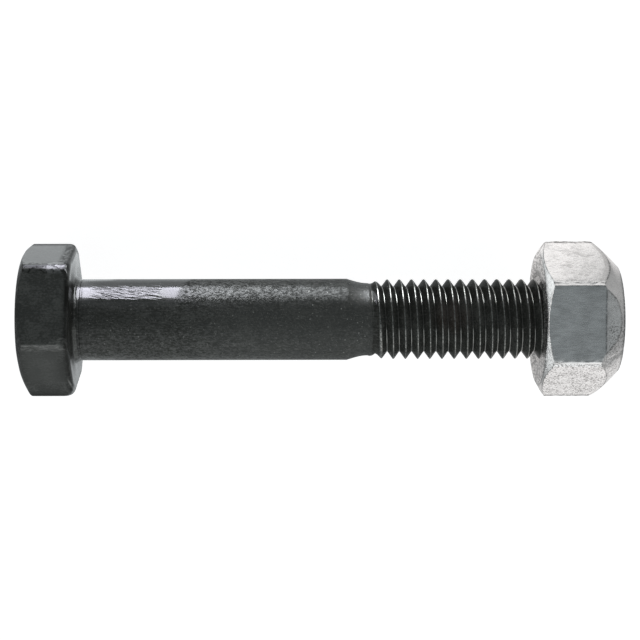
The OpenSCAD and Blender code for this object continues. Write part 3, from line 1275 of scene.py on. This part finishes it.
@dataclass
class LockNut:
    """The all-metal lock nut, forged in one piece. Lengths are in millimetres."""

    start_x: float
    end_x: float
    outline: HexOutline
    zinc: bpy.types.Material
    thread_phase: float
    # The bearing face, and the cone with its flat end
    face_r: float = 8.08
    end_r: float = 6.6
    cone_deg: float = 42.0
    # The squeezed faces: how far from the bearing face they fold, how much they lean, and which
    fold: float = 7.0
    lean_deg: float = 30.0
    squeezed_flats: tuple[int, ...] = (0, 2, 4)
    out_of_reach: float = 99.0
    # How softly one surface turns into the next, and into a squeezed face
    edge_ease: float = 0.12
    fold_ease: float = 0.05
    # The bore, with a countersink at both ends
    sink_r: float = 5.4
    end_sink: float = 1.05
    minor_r: float = 4.15
    major_r: float = 5.04
    pitch: float = 1.5
    columns: int = 144
    # Depths of the dents in the forged skin and of the knocks in the ridges
    dent: float = 0.03
    ridge_dent: float = 0.13

    @property
    def rise(self) -> float:
        """How fast the cone narrows towards the nut's end."""
        return math.tan(math.radians(self.cone_deg))

    @property
    def lean(self) -> float:
        """How fast a squeezed face leans in beyond its fold."""
        return math.tan(math.radians(self.lean_deg))

    @property
    def fold_x(self) -> float:
        """Where the squeezed faces fold."""
        return self.start_x + self.fold

    def bulge(self, phi: np.ndarray, x: np.ndarray) -> np.ndarray:
        """Gives how far the cone stands out of a true one: it is fuller on its upper +Y side.

        Args:
            phi: Angles about the axis.
            x: Places along the axis.

        Returns:
            The extra distances from the axis.
        """
        fuller = 0.15 + 0.3 * bell(phi - math.radians(60), math.radians(35))
        return fuller * np.clip((self.end_x - x) / 1.3, 0, 1)

    def rows(self, phi: np.ndarray) -> np.ndarray:
        """Spreads rows along the nut, closely where one surface meets the next.

        Args:
            phi: The angles of the hexagon's columns.

        Returns:
            The places along the axis, a row of them for each ring.
        """
        off, number = self.outline.from_flat(phi)
        hexagon = self.outline.radius(phi)
        reach = self.end_r + self.end_x * self.rise
        folded = self.outline.flat + self.fold_x * self.lean
        chamfer = self.start_x + (hexagon - self.face_r) * CHAMFER_SLOPE
        # Where the cone meets the flats and the squeezed faces, found in a few rounds for its bulge
        cone = cut = self.end_x - (hexagon - self.end_r) / self.rise
        for _ in range(4):
            cone = self.end_x - (hexagon - self.end_r - self.bulge(phi, cone)) / self.rise
            high = np.cos(off) * (reach + self.bulge(phi, cut)) - folded
            cut = high / (np.cos(off) * self.rise - self.lean)
        squeezed = np.isin(number, self.squeezed_flats) & (cone > self.fold_x)
        one = np.where(squeezed, self.fold_x, cone)
        two = np.where(squeezed, cut, cone)
        fine = (-0.1, -0.04, 0.0, 0.04, 0.1)
        places = [self.start_x + (chamfer - self.start_x) * s for s in (0.05, 0.35, 0.65)]
        places += [chamfer + step for step in fine]
        places += [chamfer + 0.1 + (one - chamfer - 0.2) * s for s in np.linspace(0.04, 0.98, 22)]
        places += [one + step for step in fine]
        places += [one + 0.1 + (two - one - 0.2) * s for s in np.linspace(0.1, 0.9, 9)]
        places += [two + step for step in fine]
        places += [two + 0.1 + (self.end_x - 0.12 - two) * s for s in np.linspace(0.1, 1.0, 12)]
        return np.maximum.accumulate(np.array(places), axis=0)

    def walls(self, phi: np.ndarray, x: np.ndarray) -> np.ndarray:
        """Gives how far from the axis each of the nut's surfaces would be without the others.

        Args:
            phi: The angles of the hexagon's columns.
            x: Places along the axis, a row of them for each ring.

        Returns:
            The distances to the chamfer, the flats, the cone and the squeezed faces.
        """
        off, number = self.outline.from_flat(phi)
        mouth = self.face_r + (x - self.start_x) / CHAMFER_SLOPE
        flats = np.broadcast_to(self.outline.radius(phi), x.shape)
        cone = self.end_r + (self.end_x - x) * self.rise
        cone = cone + self.bulge(np.broadcast_to(phi, x.shape), x)
        leaning = (self.outline.flat - (x - self.fold_x) * self.lean) / np.cos(off)
        pinched = np.isin(number, self.squeezed_flats)
        return np.stack([mouth, flats, cone, np.where(pinched, leaning, self.out_of_reach)])

    def soiling_and_shade(self, phi: np.ndarray, x: np.ndarray, walls: np.ndarray,
                bumps: np.ndarray, worn: np.ndarray) -> np.ndarray:
        """Marks where grime and painted shade lie: between surfaces, at both rims, and beside the
        ridges.

        Args:
            phi: The angles of the hexagon's columns.
            x: Places along the axis, a row of them for each ring.
            walls: The distances to the nut's surfaces.
            bumps: The coarse unevenness of the forged skin.
            worn: The fine unevenness of the ridges.

        Returns:
            Marks from 0 to 1.
        """
        off, number = self.outline.from_flat(phi)
        pinched = np.isin(number, self.squeezed_flats)
        nearest = np.sort(walls, axis=0)
        # Grime and painted shade lie where two surfaces meet.
        lines = bell(nearest[1] - nearest[0], 0.06) * np.where(pinched, 0.7, 1.0)
        # A ragged line runs beside each ridge, closer to it on the top flat.
        lip = np.radians(np.where(np.sin(phi) > 0.8, 28.7, 27.3)) + 0.016 * worn
        beside = bell(np.abs(off) - lip, 0.011) * np.clip(0.8 + 1.6 * bumps, 0.2, 1.1)
        beside = beside * (nearest[0] > walls[1] - 0.01)
        # Both rims carry grime and painted shade.
        rims = 0.75 * bell(x - self.start_x, 0.07) + bell(x - self.end_x + 0.1, 0.15)
        # The outermost corners are darker too, at both sides.
        at_sides = np.abs(np.cos(phi)) > 0.97
        corners = at_sides * (np.abs(off) > self.outline.corner_start) * 0.8
        return np.maximum(np.maximum(lines, rims), np.maximum(0.9 * beside, corners))

    def outside(self, skin: Skin, phi: np.ndarray) -> tuple[list[int], list[int]]:
        """Draws the chamfer, the flats, the squeezed faces and the cone.

        Args:
            skin: The skin to draw on.
            phi: The angles of the hexagon's columns.

        Returns:
            The ring round the bearing face, and the ring round the flat end.
        """
        x = self.rows(phi)
        walls = self.walls(phi, x)
        mouth, flats, cone, leaning = walls
        r = smooth_min(smooth_min(mouth, flats, self.edge_ease), cone, self.edge_ease)
        r = smooth_min(r, leaning, self.fold_ease)
        y, z = r * np.cos(phi), r * np.sin(phi)
        bumps = unevenness(x, y, z, grain=1.3, seed=4.0)
        worn = unevenness(x, y, z, grain=0.55, seed=9.0)
        mark = self.soiling_and_shade(phi, x, walls, bumps, worn)
        ridge = bell(math.pi / 6 - np.abs(self.outline.from_flat(phi)[0]), 0.05)
        r = r - self.dent * (0.5 + 0.5 * bumps) - self.ridge_dent * ridge * (0.5 + 0.5 * worn)
        rings = [skin.ring(phi, self.start_x, self.face_r - 0.1)]
        rings += [skin.ring(phi, *row) for row in zip(x, r, mark)]
        rings.append(skin.ring(phi, self.end_x, self.end_r - 0.15))
        skin.bridge(rings)
        return rings[0], rings[-1]

    def build(self) -> bpy.types.Object:
        """Builds the whole nut as one closed mesh.

        Returns:
            The nut.
        """
        thread = ScrewThread(
            side=ScrewSide.NUT,
            crest_r=self.major_r,
            root_r=self.minor_r,
            pitch=self.pitch,
            start_x=self.start_x,
            end_x=self.end_x,
            clock_deg=self.thread_phase,
            start_r=self.sink_r,
            run_in=self.sink_r - self.minor_r,
            end_chamfer=self.end_sink,
            columns=self.columns,
        ).make("nut_thread", self.zinc)
        skin = Skin()
        round_phi = np.arange(self.columns) * 2 * math.pi / self.columns
        face, end = self.outside(skin, self.outline.angles(per_flat=44, per_corner=6))
        mouth = skin.ring(round_phi, self.start_x, self.sink_r)
        far = skin.ring(round_phi, self.end_x, self.minor_r + self.end_sink)
        skin.stitch(face, mouth)
        skin.stitch(end, far)
        return weld("nut", [skin.make("nut_body"), thread])

    def dress(self, nut: bpy.types.Object) -> None:
        """Gives the nut its finish.

        Args:
            nut: The nut's object.
        """
        nut.data.materials.clear()
        nut.data.materials.append(self.zinc)


@dataclass
class PhotoCamera:
    """The camera of the photograph: nearly straight above, leaning a little towards +Y.

    Lengths are in millimetres, and it stands over foot_x. In the photo the head's bearing face is
    head_px from the left and the bolt's axis is axis_px from the top, at px_per_mm.
    """

    foot_x: float = 25.15
    head_px: float = 76.4
    axis_px: float = 319.4
    px_per_mm: float = 8.112
    distance: float = 212.4
    lean_deg: float = 4.4
    roll: float = 0.002
    sensor: float = 36.0

    def build(self) -> bpy.types.Object:
        """Makes the camera and gives it to the scene.

        Returns:
            The camera.
        """
        data = bpy.data.cameras.new("photo_camera")
        data.sensor_width = self.sensor
        data.lens = self.sensor * self.px_per_mm * self.distance / PHOTO_PX
        foot_px = self.head_px + self.foot_x * self.px_per_mm
        data.shift_x = 0.5 - foot_px / PHOTO_PX
        data.shift_y = self.axis_px / PHOTO_PX - 0.5
        data.clip_start, data.clip_end = 0.01, 10.0
        made = bpy.data.objects.new("photo_camera", data)
        bpy.context.scene.collection.objects.link(made)
        lean = math.radians(self.lean_deg)
        back = Vector((0, math.sin(lean), math.cos(lean)))
        side = Vector((1, 0, 0))
        turn = Matrix((side, back.cross(side), back)).transposed().to_4x4()
        place = Vector((self.foot_x, 0, 0)) * MM + back * self.distance * MM
        made.matrix_world = Matrix.Translation(place) @ turn @ Matrix.Rotation(-self.roll, 4, "Z")
        bpy.context.scene.camera = made
        return made


@dataclass
class Studio:
    """The floor, the lamps and the sky round the part. Lengths are in millimetres."""

    head_low: Vector
    nut_low: Vector
    bolt: bpy.types.Object
    nut: bpy.types.Object
    floor_reach: float = 3000.0
    # The sky's colours, in linear light: above, towards -Y, towards +Y, past the nut, past the
    # head, and low down towards -Y
    zenith: tuple[float, float, float] = (0.185, 0.207, 0.216)
    front: tuple[float, float, float] = (0.84, 0.875, 0.89)
    back: tuple[float, float, float] = (1.05, 1.05, 1.05)
    nut_side: tuple[float, float, float] = (0.27, 0.285, 0.29)
    head_side: tuple[float, float, float] = (0.1, 0.105, 0.11)
    low_front: tuple[float, float, float] = (1.12, 1.15, 1.16)

    def floor(self) -> bpy.types.Object:
        """Lays the floor against the head's lowest corner and the nut's lowest flat.

        Returns:
            The floor.
        """
        slope = (self.nut_low.z - self.head_low.z) / (self.nut_low.x - self.head_low.x)
        reach = self.floor_reach * MM
        corners = [(x, y, self.head_low.z + (x - self.head_low.x) * slope)
                   for x, y in ((-reach, -reach), (reach, -reach), (reach, reach), (-reach, reach))]
        mesh = bpy.data.meshes.new("floor")
        mesh.from_pydata(corners, [], [(0, 1, 2, 3)])
        made = bpy.data.objects.new("floor", mesh)
        bpy.context.scene.collection.objects.link(made)
        mesh.materials.append(WhitePaintedBoard().make())
        return made

    def strip(self, name: str, corners: tuple[Vector, Vector, Vector], radiance: float,
              colour: tuple[float, float, float], lit: bpy.types.Object) -> bpy.types.Object:
        """Stands a strip lamp beside the part, which only one piece's gloss shows.

        Args:
            name: The lamp's name.
            corners: Its lower left, lower right and upper left corner, as the piece sees it.
            radiance: How bright its face looks, where 1 is white.
            colour: Its colour.
            lit: The piece that shows it.

        Returns:
            The lamp.
        """
        wide, high = corners[1] - corners[0], corners[2] - corners[0]
        data = bpy.data.lights.new(name, "AREA")
        data.shape = "RECTANGLE"
        data.size, data.size_y = wide.length * MM, high.length * MM
        data.energy = radiance * math.pi * data.size * data.size_y
        data.color = colour
        made = bpy.data.objects.new(name, data)
        bpy.context.scene.collection.objects.link(made)
        across, up = wide.normalized(), high.normalized()
        turn = Matrix((-across, up, up.cross(across))).transposed().to_4x4()
        made.matrix_world = Matrix.Translation((corners[0] + (wide + high) / 2) * MM) @ turn
        made.visible_camera = False
        made.visible_diffuse = False
        chosen = bpy.data.collections.new(name + "_lit")
        chosen.objects.link(lit)
        made.light_linking.receiver_collection = chosen
        return made

    def sky(self) -> None:
        """Makes the sky: dim above, where the camera is, and brighter low down all round."""
        world = bpy.data.worlds.new("plain_sky")
        world.use_nodes = True
        tree = world.node_tree
        tree.nodes.clear()
        ray = add_node(tree, "ShaderNodeTexCoord").outputs["Generated"]
        axes = add_node(tree, "ShaderNodeSeparateXYZ", {0: ray}).outputs
        # The angle from straight up, towards +Y.
        tilt = Field(axes["Y"]).then("ARCTAN2", axes["Z"])
        along = Field(axes["X"])
        far: bpy.types.NodeSocket | tuple[float, ...] = (*self.zenith, 1.0)
        for value, low, high, colour in (
                (tilt, math.radians(-18), math.radians(-34), self.front),
                (tilt, math.radians(-60), math.radians(-74), self.low_front),
                (tilt, math.radians(58), math.radians(70), self.back),
                (along, 0.7, 0.95, self.nut_side),
                (along, -0.7, -0.95, self.head_side)):
            far = add_node(tree, "ShaderNodeMix", {
                0: value.step(low, high), 6: far, 7: (*colour, 1.0)}, data_type="RGBA").outputs[2]
        path = add_node(tree, "ShaderNodeLightPath").outputs
        seen = add_node(tree, "ShaderNodeMix", {
            0: path["Is Camera Ray"], 6: far, 7: (1.0, 1.0, 1.0, 1.0)}, data_type="RGBA").outputs[2]
        back = add_node(tree, "ShaderNodeBackground", {"Color": seen})
        add_node(tree, "ShaderNodeOutputWorld", {0: back.outputs[0]})
        bpy.context.scene.world = world

    def build(self) -> None:
        """Sets up the sky, the floor and the lamps."""
        self.sky()
        self.floor()
        # The key strip stands beside the +Y side, in four lengths as bright as each stretch needs.
        for name, start, end, radiance, colour in (
                ("key_strip_ridge", -15.0, -4.4, 2.2, (0.84, 0.85, 1.0)),
                ("key_strip_head", -4.4, 11.5, 13.0, (0.89, 0.885, 1.0)),
                ("key_strip_shank", 11.5, 42.0, 12.0, (0.93, 0.965, 1.0)),
                ("key_strip_thread", 42.0, 62.0, 0.92, (0.99, 0.99, 0.97))):
            key = (Vector((start, 30, -6)), Vector((end, 30, -6)), Vector((start, 30, 14)))
            self.strip(name, key, radiance, colour, self.bolt)
        # A strip past the head glints on the nut's rim, and a low card shows in its chamfer.
        rim = (Vector((-90, -60, 10)), Vector((-90, 60, 10)), Vector((-90, -60, 80)))
        self.strip("rim_strip", rim, 2.2, (1.0, 1.0, 1.0), self.nut)
        card = (Vector((42, -45, -8)), Vector((42, 45, -8)), Vector((42, -45, 4)))
        self.strip("nut_card", card, 0.5, (0.96, 0.99, 1.0), self.nut)


def lowest(obj: bpy.types.Object) -> Vector:
    """Finds the lowest point of a mesh.

    Args:
        obj: The object to look at.

    Returns:
        The point, in metres.
    """
    return min((v.co for v in obj.data.vertices), key=lambda co: co.z).copy()


def main() -> None:
    """Builds the part and its studio, and reports each piece."""
    logging.basicConfig(level=logging.INFO, format="%(name)s: %(message)s")
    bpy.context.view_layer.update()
    bpy.context.scene.view_settings.view_transform = "Standard"
    PhotoCamera().build()

    head_low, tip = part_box("hex_bolt")
    nut_low, nut_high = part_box("lock_nut")
    bolt_maker = HexBolt(
        tip_x=tip.x / MM,
        head_h=-head_low.x / MM,
        outline=HexOutline(across_flats=16.7, corner_radius=0.4, turn_deg=16.0,
                           soft_corners_deg=(44.0,), soft_radius=1.2),
        steel=BlackOxideSteel(shank_r=HexBolt.shank_r, thread_x=HexBolt.neck_end_x).make(),
    )
    bolt = bolt_maker.build()
    bolt_maker.dress(bolt)
    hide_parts("hex_bolt")
    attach(bolt, "bolt")
    LOG.info("bolt: dressed in %s", bolt.data.materials[0].name)

    nut_x = nut_low.x / MM
    turns_between = (bolt_maker.neck_end_x - nut_x) / bolt_maker.pitch
    nut_outline = HexOutline(across_flats=16.8, corner_radius=0.5, turn_deg=0.0,
                             bevels_deg=(48.0, 132.0), bevel_depth=0.165, bevel_reach=1.1)
    nut_maker = LockNut(
        start_x=nut_x,
        end_x=nut_high.x / MM,
        outline=nut_outline,
        zinc=ZincPlatedSteel(top_z=nut_outline.flat, face_x=nut_x).make(),
        thread_phase=bolt_maker.clock_deg + 360 * turns_between,
    )
    nut = nut_maker.build()
    nut_maker.dress(nut)
    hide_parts("lock_nut")
    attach(nut, "nut")
    LOG.info("nut: dressed in %s", nut.data.materials[0].name)

    Studio(head_low=lowest(bolt), nut_low=lowest(nut), bolt=bolt, nut=nut).build()


if __name__ == "__main__":
    main()
